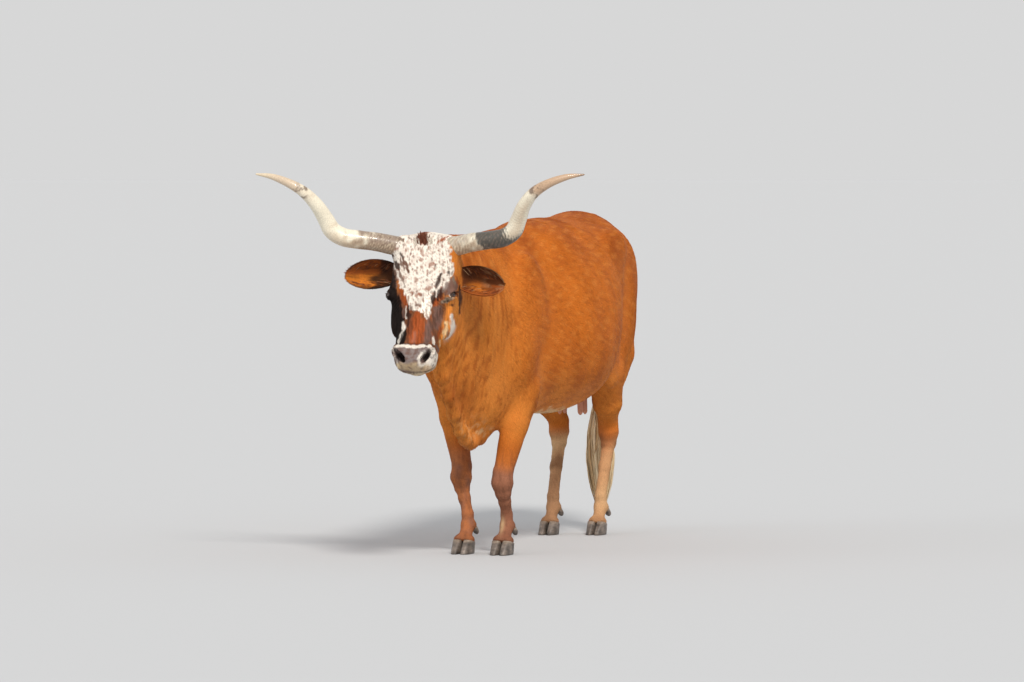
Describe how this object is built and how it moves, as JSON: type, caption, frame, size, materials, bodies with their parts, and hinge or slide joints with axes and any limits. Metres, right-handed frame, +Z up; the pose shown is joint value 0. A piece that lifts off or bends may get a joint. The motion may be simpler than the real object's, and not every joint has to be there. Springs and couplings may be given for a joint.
{
  "type": "texas longhorn",
  "caption": "Still life-size model of a standing texas longhorn cow with a red coat, a pale speckled face turned slightly to its left and long upswept horns",
  "frame": {"origin": "on the floor under the middle of the whole cow's bounding box", "axes": "+Z up, the cow looks along -Y, its own left side is +X"},
  "size_m": [1.2898, 2.439, 1.5435],
  "materials": {
    "red_coat": "orange red brown short lying hair, satin",
    "face_coat": "pale short hair speckled with red brown, satin",
    "horn": "satin horn, cream with a ringed grey tan base and tan tip",
    "claw": "dark grey brown satin horn",
    "eye": "wet gloss",
    "bare_skin": "pink brown matte skin",
    "tail_hair": "pale blond brown long coarse hair"
  },
  "bodies": {
    "root": {"torso": "red_coat", "neck": "red_coat", "head": "face_coat", "eye_left": "eye", "eye_right": "eye", "horn_left": "horn", "horn_right": "horn", "ear_left": "red_coat", "ear_right": "red_coat", "foreleg_upper_left": "red_coat", "foreleg_lower_left": "red_coat", "foreleg_upper_right": "red_coat", "foreleg_lower_right": "red_coat", "hindleg_upper_left": "red_coat", "hindleg_lower_left": "red_coat", "hindleg_upper_right": "red_coat", "hindleg_lower_right": "red_coat", "fore_claw_left_outer": "claw", "fore_claw_left_inner": "claw", "fore_claw_right_outer": "claw", "fore_claw_right_inner": "claw", "hind_claw_left_outer": "claw", "hind_claw_left_inner": "claw", "hind_claw_right_outer": "claw", "hind_claw_right_inner": "claw", "fore_dewclaw_left_outer": "claw", "fore_dewclaw_left_inner": "claw", "fore_dewclaw_right_outer": "claw", "fore_dewclaw_right_inner": "claw", "hind_dewclaw_left_outer": "claw", "hind_dewclaw_left_inner": "claw", "hind_dewclaw_right_outer": "claw", "hind_dewclaw_right_inner": "claw", "udder": "bare_skin", "tail": "red_coat", "tail_switch": "tail_hair"}
  },
  "joints": []
}
